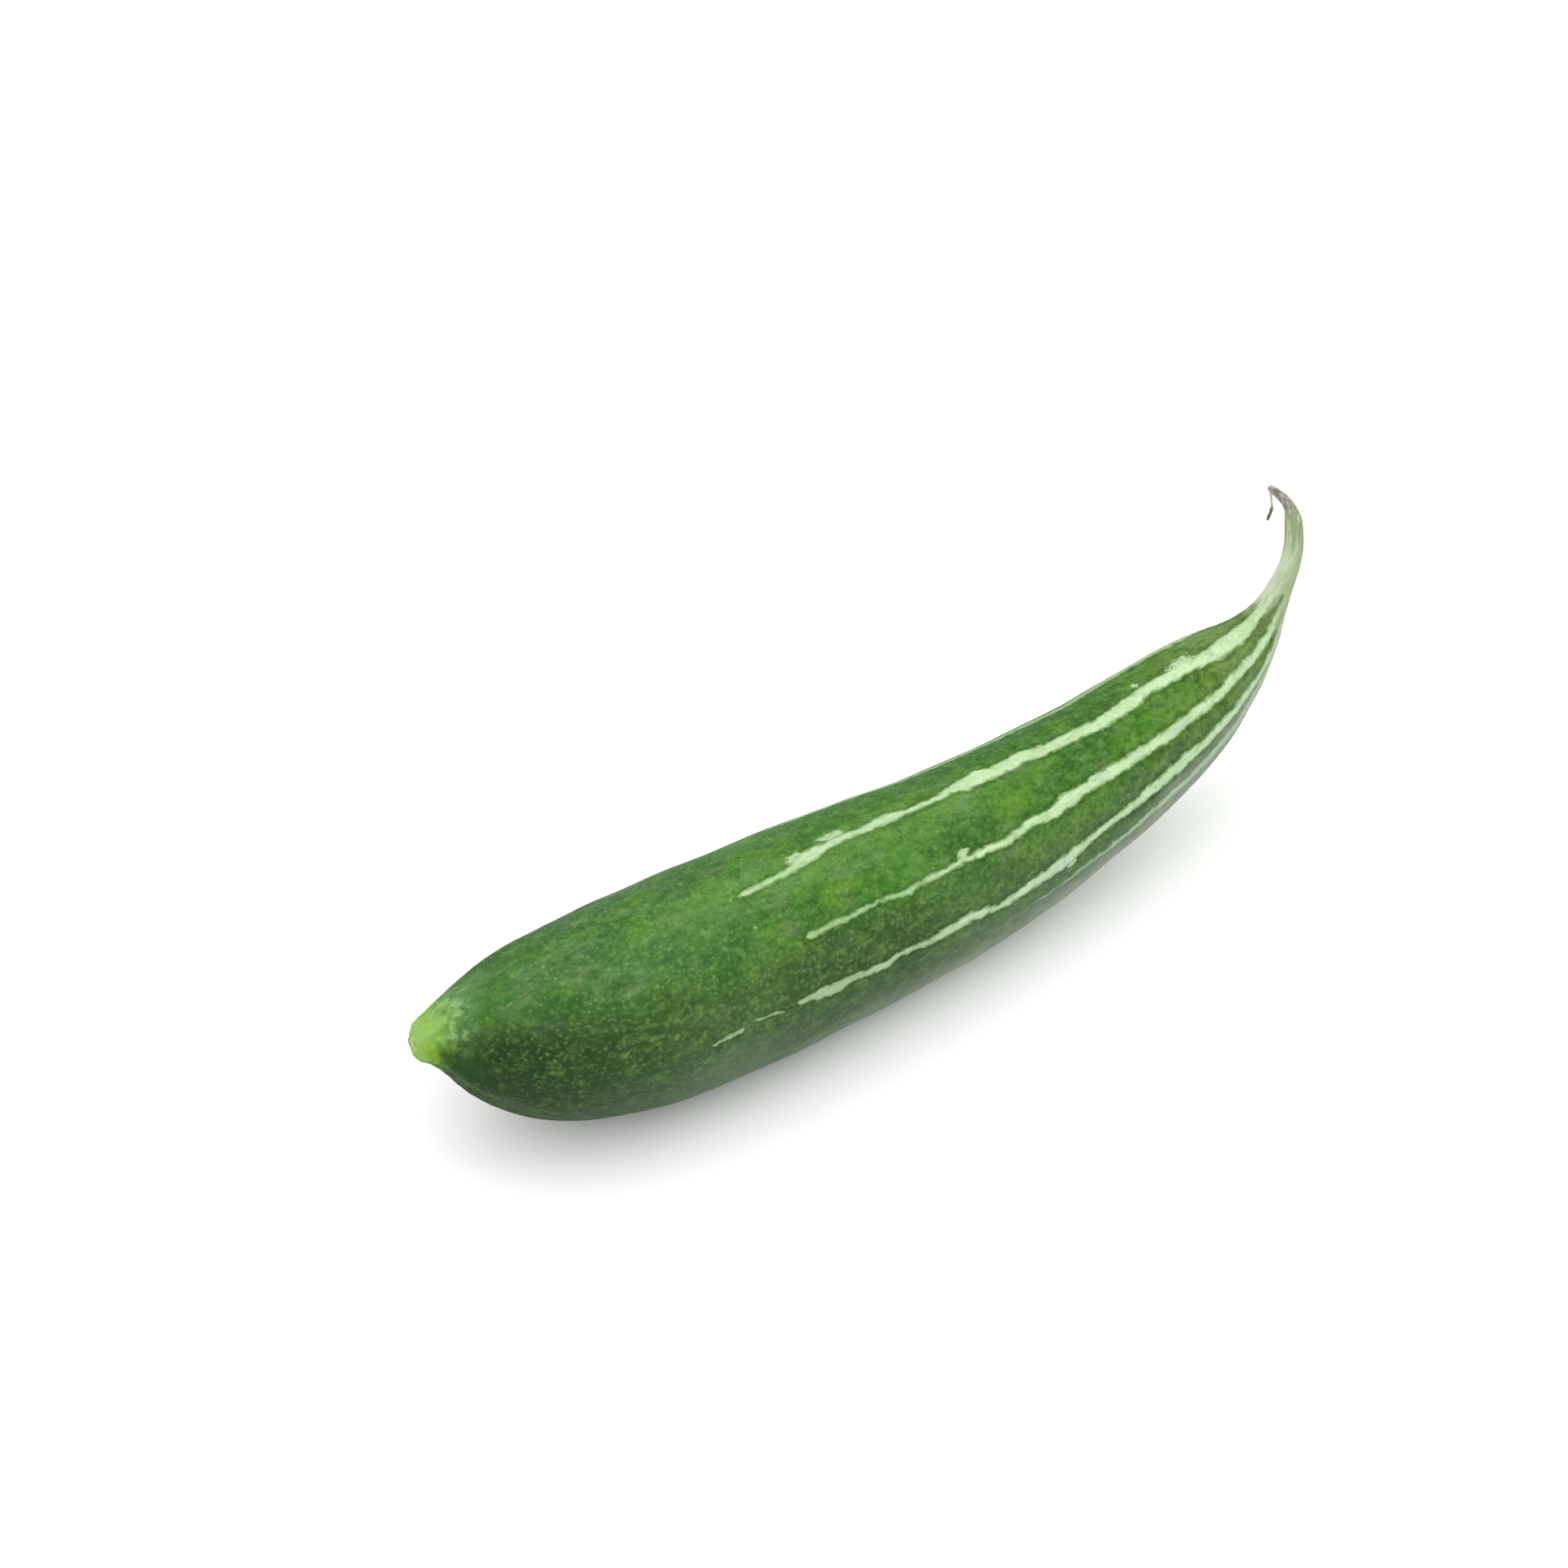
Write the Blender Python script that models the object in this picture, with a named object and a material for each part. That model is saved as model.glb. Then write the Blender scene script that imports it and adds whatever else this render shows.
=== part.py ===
"""A snake gourd of the short kind, picked and lying on its side.

The stub of its stalk, the fruit and the dried beak grew as one piece, so they are one closed body.
Units are metres and +Z is up. The fruit rests on z = 0 by a small flat spot under its belly.
The origin is on that plane, under the middle of the fruit's box.
The stalk is towards -X and the beak towards +X, where it curls up and round to +Y.
"""

import math

import bmesh
import bpy
import numpy as np

MM = 0.001
NODE = "snake_gourd"

# Driving sizes.
LENGTH = 290 * MM  # along the middle line, from the cut stalk to the tip of the beak
THICKEST = 25 * MM  # radius of the thickest stretch
FLAT_DEPTH = 1.1 * MM  # how much of the round belly the flat spot takes off

# A place is a share of LENGTH, counted from the stalk.
# An angle round the fruit is 0 on its +Y side, 90 on top and 270 underneath.

# Direction of the middle line at the stalk, in degrees: heading from +X towards +Y, and climb.
START_HEADING = -11.0
START_CLIMB = -7.5

# Each bend eases in and out between two places: (from, to, turn towards +Y, climb), in degrees.
BENDS = (
    (0.000, 0.048, -14.0, 0.0),  # the stub leans over
    (0.028, 0.224, 21.0, 4.5),  # shoulder
    (0.190, 0.517, 0.0, 2.5),  # belly
    (0.380, 0.620, 5.0, 4.0),  # front of the belly
    (0.586, 0.793, 0.0, 16.0),  # neck
    (0.783, 0.907, 22.5, 3.0),  # root of the beak
    (0.898, 0.967, 28.5, 10.5),  # beak
    (0.956, 1.000, 66.0, -4.5),  # hook at its tip
)

# Radius of the smooth form: (place, share of THICKEST).
GIRTH = (
    (0.000, 0.105),  # cut end of the stalk
    (0.004, 0.170),
    (0.014, 0.238),
    (0.034, 0.425),  # shoulder
    (0.059, 0.625),
    (0.090, 0.790),
    (0.131, 0.908),
    (0.190, 0.987),  # belly
    (0.276, 1.000),
    (0.417, 0.950),
    (0.521, 0.872),
    (0.624, 0.770),
    (0.707, 0.676),  # neck
    (0.759, 0.585),
    (0.803, 0.440),
    (0.841, 0.275),
    (0.883, 0.140),  # beak
    (0.930, 0.096),
    (0.962, 0.084),
    (0.980, 0.050),  # hook
    (0.995, 0.038),
    (1.000, 0.028),
)

# Soft ribs run the length of the fruit, clearest on the shoulder and the neck: (place, height).
RIB_ANGLES = (2, 45, 93, 137, 168, 197, 233, 275, 318)
RIB_HALF_WIDTH = 15
RIB_HEIGHTS = (
    (0.000, 0.00 * MM),
    (0.020, 0.35 * MM),
    (0.045, 0.90 * MM),
    (0.090, 0.55 * MM),
    (0.170, 0.12 * MM),
    (0.450, 0.06 * MM),
    (0.660, 0.22 * MM),
    (0.800, 0.40 * MM),
    (0.880, 0.20 * MM),
    (0.940, 0.10 * MM),
    (1.000, 0.00 * MM),
)

# The stub has five blunt corners, which fade out where the shoulder starts.
STALK_CORNERS = 5
STALK_CORNER_HEIGHT = 0.35 * MM
STALK_CORNER_ANGLE = 45
STALK_CORNERS_END = 0.035

# Slight unevenness of a grown thing: (height, waves along, lobes round, phase along, phase round).
SWELLS = (
    (0.18 * MM, 3.1, 1, 3.5, 2.1),
    (0.15 * MM, 6.3, 2, 1.9, 0.6),
    (0.10 * MM, 11.0, 3, 0.2, 1.1),
)

# The cut face of the stalk sinks a little inside its rim.
CUT_RIM = 1.3 * MM
CUT_DEPTH = 0.5 * MM

# How finely the skin is divided: corners of each ring, and the gap between rings: (place, gap).
SIDES = 56
RING_GAPS = (
    (0.00, 1.0 * MM),
    (0.08, 2.6 * MM),
    (0.20, 5.0 * MM),
    (0.70, 5.0 * MM),
    (0.80, 2.6 * MM),
    (0.94, 2.2 * MM),
    (0.96, 0.9 * MM),
    (1.00, 0.8 * MM),
)
LINE_STEPS = 2900

# Colour of the skin, in 0 to 255 sRGB, and its dull waxy finish.
SKIN_GREEN = (72, 122, 52)
SKIN_ROUGHNESS = 0.48


def eased(x):
    """0 to 1 with a soft start and a soft end."""
    x = np.clip(x, 0.0, 1.0)
    return x**3 * (x * (6.0 * x - 15.0) + 10.0)


def through(points, x):
    """A smooth curve through the points that never overshoots between two of them, read at x."""
    at, value = np.array(points, float).T
    rise = np.diff(value) / np.diff(at)
    before, after = rise[:-1], rise[1:]
    same_way = before * after > 0
    inner = np.where(same_way, 2 * before * after / np.where(same_way, before + after, 1.0), 0.0)
    slope = np.concatenate([rise[:1], inner, rise[-1:]])
    i = np.clip(np.searchsorted(at, x, side="right") - 1, 0, len(at) - 2)
    gap = at[i + 1] - at[i]
    u = np.clip((x - at[i]) / gap, 0.0, 1.0)
    start = value[i] * (1 + 2 * u) * (1 - u) ** 2 + gap * slope[i] * u * (1 - u) ** 2
    end = value[i + 1] * (3 - 2 * u) * u**2 - gap * slope[i + 1] * (1 - u) * u**2
    return start + end


def headings(place):
    """Heading and climb of the middle line at each place, in radians."""
    heading = np.full(len(place), START_HEADING)
    climb = np.full(len(place), START_CLIMB)
    for start, end, turn, lift in BENDS:
        done = eased((place - start) / (end - start))
        heading += turn * done
        climb += lift * done
    return np.radians(heading), np.radians(climb)


def middle_line(place):
    """Points of the middle line at each place, starting from (0, 0, 0) at the stalk."""
    fine = np.linspace(0.0, 1.0, LINE_STEPS + 1)
    heading, climb = headings((fine[1:] + fine[:-1]) / 2)
    steps = directions(heading, climb) * LENGTH / LINE_STEPS
    points = np.vstack([np.zeros(3), np.cumsum(steps, axis=0)])
    return np.column_stack([np.interp(place, fine, points[:, axis]) for axis in range(3)])


def directions(heading, climb):
    level = np.cos(climb)
    return np.column_stack([level * np.cos(heading), level * np.sin(heading), np.sin(climb)])


def ring_places():
    """Places of the rings, closer together where the fruit is thin or turns quickly."""
    places = [0.0]
    while places[-1] < 1.0:
        places.append(places[-1] + float(through(RING_GAPS, places[-1])) / LENGTH)
    return np.array(places) / places[-1]


def ribs(angle):
    """Height of the ribs round the fruit, from 0 between them to 1 on their crests."""
    height = np.zeros_like(angle)
    for crest in RIB_ANGLES:
        away = (angle - crest + 180.0) % 360.0 - 180.0
        near = np.clip(np.abs(away) / RIB_HALF_WIDTH, 0.0, 1.0)
        height += np.cos(near * math.pi / 2) ** 2
    return height


def radius(place, angle):
    """Distance from the middle line to the skin. place is a column and angle a row."""
    smooth = THICKEST * through(GIRTH, place)
    raised = through(RIB_HEIGHTS, place) * (ribs(angle) - 0.5)
    fade = 1.0 - eased(place / STALK_CORNERS_END)
    corners = np.cos(np.radians(STALK_CORNERS * (angle - STALK_CORNER_ANGLE)))
    uneven = np.zeros_like(place * angle)
    for height, waves, lobes, along, around in SWELLS:
        wave = np.sin(2 * math.pi * waves * place + along)
        uneven += height * wave * np.cos(lobes * np.radians(angle) + around)
    return smooth + raised + STALK_CORNER_HEIGHT * fade * corners + uneven * smooth / THICKEST


def skin_points():
    """Rings of points on the skin, with the belly let down onto z = 0 and pressed flat there."""
    place = ring_places()
    angle = np.arange(SIDES) * 360.0 / SIDES
    heading, climb = headings(place)
    along = directions(heading, climb)
    side = np.column_stack([-np.sin(heading), np.cos(heading), np.zeros(len(place))])
    top = np.cross(along, side)
    away = radius(place[:, None], angle[None, :])[..., None]
    turn = np.radians(angle)[None, :, None]
    points = middle_line(place)[:, None, :] + away * (
        np.cos(turn) * side[:, None, :] + np.sin(turn) * top[:, None, :]
    )
    points[..., 2] = np.maximum(points[..., 2] - points[..., 2].min() - FLAT_DEPTH, 0.0)
    flat = points.reshape(-1, 3)
    middle = (flat.min(axis=0) + flat.max(axis=0)) / 2
    return points - np.array([middle[0], middle[1], 0.0])


def gourd_mesh():
    bm = bmesh.new()
    rings = [[bm.verts.new(point) for point in ring] for ring in skin_points()]
    for ring, following in zip(rings, rings[1:]):
        for i in range(SIDES):
            j = (i + 1) % SIDES
            bm.faces.new((ring[i], ring[j], following[j], following[i]))
    cut = bm.faces.new(reversed(rings[0]))
    bm.faces.new(rings[-1])
    bm.normal_update()
    bmesh.ops.inset_region(bm, faces=[cut], thickness=CUT_RIM, depth=-CUT_DEPTH)
    bmesh.ops.recalc_face_normals(bm, faces=bm.faces)
    mesh = bpy.data.meshes.new(NODE)
    bm.to_mesh(mesh)
    bm.free()
    mesh.shade_smooth()
    mesh.set_sharp_from_angle(angle=math.radians(60))
    return mesh


def linear(colour):
    """An sRGB colour of 0 to 255 as the linear one that a shader takes."""
    share = np.array(colour) / 255.0
    curve = np.where(share <= 0.04045, share / 12.92, ((share + 0.055) / 1.055) ** 2.4)
    return (*curve, 1.0)


def skin_material():
    material = bpy.data.materials.new("gourd_skin")
    material.use_nodes = True
    shader = material.node_tree.nodes["Principled BSDF"]
    shader.inputs["Base Color"].default_value = linear(SKIN_GREEN)
    shader.inputs["Roughness"].default_value = SKIN_ROUGHNESS
    shader.inputs["Metallic"].default_value = 0.0
    return material


def main():
    for obj in list(bpy.data.objects):
        bpy.data.objects.remove(obj)
    gourd = bpy.data.objects.new(NODE, gourd_mesh())
    gourd.data.materials.append(skin_material())
    bpy.context.scene.collection.objects.link(gourd)


main()
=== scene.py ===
"""Looks of the snake gourd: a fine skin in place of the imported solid, its finish, and a plain studio.

Lengths are metres and +Z is up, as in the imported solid. MM turns millimetres into metres.
A place is a share of the gourd's length from the cut stalk. Angles round it are in degrees:
0 on its +Y side, 90 on top and 270 underneath.
"""

import math

import bpy
import numpy as np
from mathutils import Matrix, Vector, noise


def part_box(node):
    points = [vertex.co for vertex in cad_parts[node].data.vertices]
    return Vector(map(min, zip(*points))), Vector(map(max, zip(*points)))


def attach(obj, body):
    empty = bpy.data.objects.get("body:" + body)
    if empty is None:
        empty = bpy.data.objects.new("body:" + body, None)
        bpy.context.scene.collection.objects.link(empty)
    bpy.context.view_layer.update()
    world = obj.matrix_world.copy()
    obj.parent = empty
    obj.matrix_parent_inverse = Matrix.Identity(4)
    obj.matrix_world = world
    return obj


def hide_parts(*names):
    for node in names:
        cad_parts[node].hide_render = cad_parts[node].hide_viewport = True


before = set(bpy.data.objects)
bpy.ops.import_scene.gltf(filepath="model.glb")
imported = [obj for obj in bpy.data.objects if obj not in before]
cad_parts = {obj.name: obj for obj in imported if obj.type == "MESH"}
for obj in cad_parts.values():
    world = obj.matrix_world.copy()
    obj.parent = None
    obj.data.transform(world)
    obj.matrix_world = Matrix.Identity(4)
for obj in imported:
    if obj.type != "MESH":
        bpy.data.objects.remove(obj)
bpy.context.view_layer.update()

MM = 0.001
NODE = "snake_gourd"

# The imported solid's own form, which the skin repeats more finely.
LENGTH = 290 * MM
THICKEST = 25 * MM
FLAT_DEPTH = 1.1 * MM
START_HEADING = -11.0
START_CLIMB = -7.5
BENDS = (
    (0.000, 0.048, -14.0, 0.0),
    (0.028, 0.224, 21.0, 4.5),
    (0.190, 0.517, 0.0, 2.5),
    (0.380, 0.620, 5.0, 4.0),
    (0.586, 0.793, 0.0, 16.0),
    (0.783, 0.907, 22.5, 3.0),
    (0.898, 0.967, 28.5, 10.5),
    (0.956, 1.000, 66.0, -4.5),
)
GIRTH = (
    (0.000, 0.105),
    (0.004, 0.170),
    (0.014, 0.238),
    (0.034, 0.425),
    (0.059, 0.625),
    (0.090, 0.790),
    (0.131, 0.908),
    (0.190, 0.987),
    (0.276, 1.000),
    (0.417, 0.950),
    (0.521, 0.872),
    (0.624, 0.770),
    (0.707, 0.676),
    (0.759, 0.585),
    (0.803, 0.440),
    (0.841, 0.275),
    (0.883, 0.140),
    (0.930, 0.096),
    (0.962, 0.084),
    (0.980, 0.050),
    (0.995, 0.038),
    (1.000, 0.028),
)
RIB_ANGLES = (2, 45, 93, 137, 168, 197, 233, 275, 318)
RIB_HALF_WIDTH = 15
RIB_HEIGHTS = (
    (0.000, 0.00 * MM),
    (0.020, 0.35 * MM),
    (0.045, 0.90 * MM),
    (0.090, 0.55 * MM),
    (0.170, 0.12 * MM),
    (0.450, 0.06 * MM),
    (0.660, 0.22 * MM),
    (0.800, 0.40 * MM),
    (0.880, 0.20 * MM),
    (0.940, 0.10 * MM),
    (1.000, 0.00 * MM),
)
STALK_CORNERS = 5
STALK_CORNER_HEIGHT = 0.35 * MM
STALK_CORNER_ANGLE = 45
STALK_CORNERS_END = 0.035
SWELLS = (
    (0.18 * MM, 3.1, 1, 3.5, 2.1),
    (0.15 * MM, 6.3, 2, 1.9, 0.6),
    (0.10 * MM, 11.0, 3, 0.2, 1.1),
)
LINE_STEPS = 2900

# How finely the skin is divided: corners of each ring, and the gap between rings: (place, gap).
SIDES = 176
RING_GAPS = (
    (0.000, 0.30 * MM),
    (0.030, 0.42 * MM),
    (0.100, 0.62 * MM),
    (0.800, 0.62 * MM),
    (0.880, 0.50 * MM),
    (1.000, 0.42 * MM),
)

# Relief finer than the solid's: (height, size of a bump, how many times longer than wide).
RELIEF = (
    (0.14 * MM, 15 * MM, 2.0),
    (0.05 * MM, 4.0 * MM, 1.6),
    (0.03 * MM, 1.8 * MM, 1.0),
)
FULL_RELIEF_RADIUS = 4 * MM  # where the gourd is thinner, the relief shrinks with it
STRIPE_RISE = 0.10 * MM
STRIPE_SLOPE = 0.5  # how far outside a stripe's edge its rise starts, in mm

# Fibres stand out on the stub and on the beak, which has dried and shrunk: (place, height).
FIBRE_SIZE = 1.1 * MM
FIBRE_STRETCH = 14.0
FIBRE_HEIGHTS = (
    (0.000, 0.26 * MM),
    (0.020, 0.22 * MM),
    (0.060, 0.05 * MM),
    (0.120, 0.00 * MM),
    (0.780, 0.00 * MM),
    (0.850, 0.10 * MM),
    (0.900, 0.16 * MM),
    (0.970, 0.22 * MM),
    (1.000, 0.16 * MM),
)

# The cut end of the stalk: (share of the end's radius, height above the end's edge).
CUT_PROFILE = (
    (0.96, 0.10 * MM),
    (0.88, 0.14 * MM),
    (0.78, 0.06 * MM),
    (0.66, -0.16 * MM),
    (0.54, -0.30 * MM),
    (0.40, -0.34 * MM),
    (0.26, -0.30 * MM),
    (0.12, -0.36 * MM),
)
TIP_PROFILE = ((0.92, 0.10 * MM), (0.74, 0.22 * MM), (0.45, 0.32 * MM), (0.18, 0.36 * MM))

# Pale stripes, each as a line of (distance from the stalk in mm, angle, width in mm).
# Where the width is below 0 the stripe is broken off.
STRIPES = (
    # Top, towards +Y. The photo sees its first half edge-on, so it is drawn further in and wider there.
    (
        (96.5, 54, -2.0), (98.5, 54, 0.8), (103, 54.5, 1.6), (112, 54.5, 1.9), (160, 55, 2.1),
        (176, 55, 2.3), (190, 55, 2.5), (200, 53, 2.6), (212, 51, 2.4), (224, 52, 2.6),
        (231, 46, 2.6), (238, 38, 2.6), (246, 33, 2.0), (256, 30, 1.0),
    ),
    # Top.
    (
        (75.0, 103, -2.0), (76.5, 103, 1.2), (80, 102.3, 1.7), (90, 101, 1.8), (93, 99, 2.6),
        (97, 96.5, 3.8), (100, 95, 3.4), (103, 94.3, 2.3), (110, 94, 2.0), (115, 94, 2.2),
        (119, 92.8, 3.2), (124, 92.5, 3.2), (127, 93.3, 1.9), (137, 92.5, 1.9), (141, 90.5, 2.3),
        (145, 90.5, 4.2), (151, 89.5, 5.0), (155, 92, 4.0), (165, 92, 4.2), (169, 94.7, 3.5),
        (180, 95.7, 3.5), (190, 98, 3.5), (200, 97.3, 4.0), (206, 95.5, 3.2), (213, 97, 3.6),
        (220, 100.5, 3.2), (225, 103.3, 3.4), (230, 105.4, 4.6), (235, 104, 4.8), (240, 102, 4.4),
        (245, 96, 3.2), (262, 84, 2.4),
    ),
    # Front, upper.
    (
        (85.0, 137.4, -2.0), (86.5, 137.4, 1.1), (88, 137.4, 1.3), (95, 136.5, 1.5),
        (100, 136.6, 1.4), (103, 136, 1.0), (110, 135.7, 0.9), (116, 137.3, 1.6), (120, 136, 1.2),
        (123, 135, 1.6), (127, 135.5, 1.3), (133, 134.4, 1.6), (138, 135, 1.9), (145, 136.4, 1.9),
        (150, 135.3, 2.4), (154, 133.5, 2.3), (158, 135, 2.6), (161, 136, 3.0), (166, 133.3, 3.8),
        (172, 133.5, 2.6), (178, 132.7, 3.2), (185, 134, 3.0), (195, 134.8, 2.8), (205, 136.5, 3.0),
        (210, 137, 2.7), (220, 141, 2.8), (230, 143, 2.9), (240, 144.5, 2.6), (250, 146, 2.0),
    ),
    # Front, lower: two dashes first, the second one faint.
    (
        (56.0, 173, -2.0), (57.5, 172.8, 0.8), (65, 171.3, 0.8), (66.2, 169, -2.0), (67.4, 168, 0.2),
        (76, 170, 0.5), (77.5, 170, -2.0), (79.0, 169, -2.0), (80.5, 169, 1.5), (83.5, 169, 1.5),
        (86, 169.5, 2.8), (91, 169.8, 2.8), (95, 168.5, 1.6), (100, 169.5, 1.7), (105, 170.5, 2.3),
        (108, 168.5, 1.7), (115, 169, 1.3), (118, 170.3, 1.3), (121, 168.5, 2.4), (130, 167.3, 2.6),
        (135, 169, 2.2), (138, 171, 1.6), (144, 170.5, 2.5), (150, 169.7, 2.8), (158, 169.3, 3.3),
        (163, 168, 3.2), (166, 167, 2.2), (172, 164.8, 1.9), (180, 163.8, 2.2), (190, 164, 2.8),
        (200, 163.7, 3.2), (205, 163, 3.2), (210, 166, 2.5), (220, 167.5, 2.4), (230, 170, 2.4),
        (240, 175, 2.4), (250, 178, 2.4),
    ),
    # Under the front.
    (
        (148, 186, -2.0), (150, 186, 0.6), (155, 186, 0.8), (170, 185, 1.5), (190, 184, 2.0),
        (200, 184, 2.4), (230, 190, 3.0),
    ),
    # Underneath, out of the photo's sight like the rest below.
    (
        (90, 232, -2.0), (92, 232, 1.2), (112, 235, 1.9), (118, 234, 1.2), (135, 231, 2.6),
        (165, 229, 3.0), (185, 232, 2.5), (205, 233, 3.3), (228, 236, 3.5), (240, 234, 2.6),
        (252, 232, 1.6),
    ),
    (
        (80, 276, -2.0), (82, 276, 1.4), (94, 275, 2.8), (108, 277, 1.8), (130, 274, 3.0),
        (150, 277, 3.9), (172, 273, 3.3), (196, 271, 3.9), (214, 276, 3.6), (230, 281, 4.2),
        (243, 284, 3.0), (254, 286, 1.8),
    ),
    # Back, lower.
    (
        (95, 317, -2.0), (97, 317, 1.3), (110, 319, 1.0), (124, 318, 2.1), (141, 320, 1.7),
        (160, 316, 3.0), (181, 314, 2.7), (204, 318, 3.1), (226, 325, 3.6), (240, 327, 2.8),
        (252, 330, 1.6),
    ),
    # Back, upper.
    (
        (74, 4, -2.0), (75.5, 4, 1.2), (80, 3, 1.2), (81.5, 3, -2.0), (84, 2, -2.0), (85.5, 2, 1.9),
        (101, 0, 1.6), (110, 2, 2.9), (126, 0, 1.7), (148, 4, 3.3), (170, 1, 2.8), (192, -1, 3.6),
        (212, 3, 3.0), (228, 8, 3.8), (240, 12, 3.0), (252, 15, 1.8),
    ),
)

# Ragged pale patches beside the stripes: (distance from the stalk, angle, half length, half width), in mm.
PATCHES = (
    (95.0, 94.5, 4.2, 1.7),
    (106.0, 89.5, 4.4, 1.6),
    (133.3, 130.5, 2.1, 1.3),
    (206.5, 84.0, 1.2, 1.2),
    (220.5, 93.0, 5.0, 2.3),
    (161.5, 174.0, 2.0, 1.0),
    (75.4, 122.0, 1.0, 0.5),
    (73.9, 103.3, 0.9, 0.6),
    (118.0, 324.0, 4.0, 1.4),
    (98.0, 8.0, 5.0, 1.3),
)

# The green between the two upper front stripes runs out onto the beak as a dull olive line.
OLIVE_LINE = (
    (241, 123, -2.0), (244, 122, 0.9), (248, 122, 1.4), (251, 125, 0.9), (253.5, 130, 0.4), (256, 134, 0.9),
    (258.5, 136, -1.5),
)

# The dried flower's remains hang from the tip of the beak: (offset from the tip, radius), in mm.
REMNANT = (
    ((0.15, -0.30, -0.2), 0.20),
    ((0.20, -0.20, -0.8), 0.30),
    ((0.35, -0.30, -2.2), 0.26),
    ((0.60, -0.50, -4.0), 0.24),
    ((0.80, -0.65, -5.6), 0.28),
    ((0.80, -0.65, -6.6), 0.46),
    ((0.60, -0.45, -8.0), 0.52),
    ((0.30, -0.20, -9.4), 0.42),
    ((0.15, -0.10, -10.0), 0.18),
)
REMNANT_SIDES = 14
REMNANT_STEPS = 60
REMNANT_FACING = (1.0, 0.3, 0.0)
REMNANT_FLATNESS = 0.35
REMNANT_TWIST = 5
REMNANT_CREASES = 5
REMNANT_CREASE_DEPTH = 0.15

# Share of the map's height that the fan of triangles at each end of a piece takes.
MAP_END = 0.01


def eased(x):
    """0 to 1 with a soft start and a soft end."""
    x = np.clip(x, 0.0, 1.0)
    return x**3 * (x * (6.0 * x - 15.0) + 10.0)


def through(points, x):
    """A smooth curve through the points that never overshoots between two of them, read at x."""
    at, value = np.array(points, float).T
    rise = np.diff(value) / np.diff(at)
    before, after = rise[:-1], rise[1:]
    same_way = before * after > 0
    inner = np.where(same_way, 2 * before * after / np.where(same_way, before + after, 1.0), 0.0)
    slope = np.concatenate([rise[:1], inner, rise[-1:]])
    i = np.clip(np.searchsorted(at, x, side="right") - 1, 0, len(at) - 2)
    gap = at[i + 1] - at[i]
    u = np.clip((x - at[i]) / gap, 0.0, 1.0)
    start = value[i] * (1 + 2 * u) * (1 - u) ** 2 + gap * slope[i] * u * (1 - u) ** 2
    end = value[i + 1] * (3 - 2 * u) * u**2 - gap * slope[i + 1] * (1 - u) * u**2
    return start + end


def headings(place):
    """Heading and climb of the middle line at each place, in radians."""
    heading = np.full(len(place), START_HEADING)
    climb = np.full(len(place), START_CLIMB)
    for start, end, turn, lift in BENDS:
        done = eased((place - start) / (end - start))
        heading += turn * done
        climb += lift * done
    return np.radians(heading), np.radians(climb)


def directions(heading, climb):
    level = np.cos(climb)
    return np.column_stack([level * np.cos(heading), level * np.sin(heading), np.sin(climb)])


def middle_line(place):
    """Points of the middle line at each place, starting from (0, 0, 0) at the stalk."""
    fine = np.linspace(0.0, 1.0, LINE_STEPS + 1)
    heading, climb = headings((fine[1:] + fine[:-1]) / 2)
    steps = directions(heading, climb) * LENGTH / LINE_STEPS
    points = np.vstack([np.zeros(3), np.cumsum(steps, axis=0)])
    return np.column_stack([np.interp(place, fine, points[:, axis]) for axis in range(3)])


def ring_places():
    """Places of the rings, closer together where the gourd is thin."""
    places = [0.0]
    while places[-1] < 1.0:
        places.append(places[-1] + float(through(RING_GAPS, places[-1])) / LENGTH)
    return np.array(places) / places[-1]


def turned(angle, middle):
    """How far an angle is from another, from -180 to 180 degrees."""
    return (angle - middle + 180.0) % 360.0 - 180.0


def ribs(angle):
    """Height of the ribs round the gourd, from 0 between them to 1 on their crests."""
    height = np.zeros_like(angle)
    for crest in RIB_ANGLES:
        near = np.clip(np.abs(turned(angle, crest)) / RIB_HALF_WIDTH, 0.0, 1.0)
        height += np.cos(near * math.pi / 2) ** 2
    return height


def radius(place, angle):
    """Distance from the middle line to the solid's skin. place is a column and angle a row."""
    smooth = THICKEST * through(GIRTH, place)
    raised = through(RIB_HEIGHTS, place) * (ribs(angle) - 0.5)
    fade = 1.0 - eased(place / STALK_CORNERS_END)
    corners = np.cos(np.radians(STALK_CORNERS * (angle - STALK_CORNER_ANGLE)))
    uneven = np.zeros_like(place * angle)
    for height, waves, lobes, along, around in SWELLS:
        wave = np.sin(2 * math.pi * waves * place + along)
        uneven += height * wave * np.cos(lobes * np.radians(angle) + around)
    return smooth + raised + STALK_CORNER_HEIGHT * fade * corners + uneven * smooth / THICKEST


def straightened(place, away, angle):
    """Each point as if the gourd were straight, along X, so that grain can run along it."""
    turn = np.radians(angle)
    return np.stack([place * LENGTH + 0 * away, away * np.cos(turn), away * np.sin(turn)], axis=-1)


def grain(points, size, stretch):
    """Random heights of about -1 to 1, in bumps of one size that may be longer along the gourd."""
    scaled = points / (size * np.array([stretch, 1.0, 1.0]))
    heights = [noise.noise(point) for point in scaled.reshape(-1, 3).tolist()]
    return np.array(heights).reshape(points.shape[:-1])


def followed(line, place):
    """The angle of a stripe at each place, and half its width there in mm."""
    at, angle, width = zip(*line)
    distance = place * LENGTH / MM
    return np.interp(distance, at, angle), np.interp(distance, at, width) / 2


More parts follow.
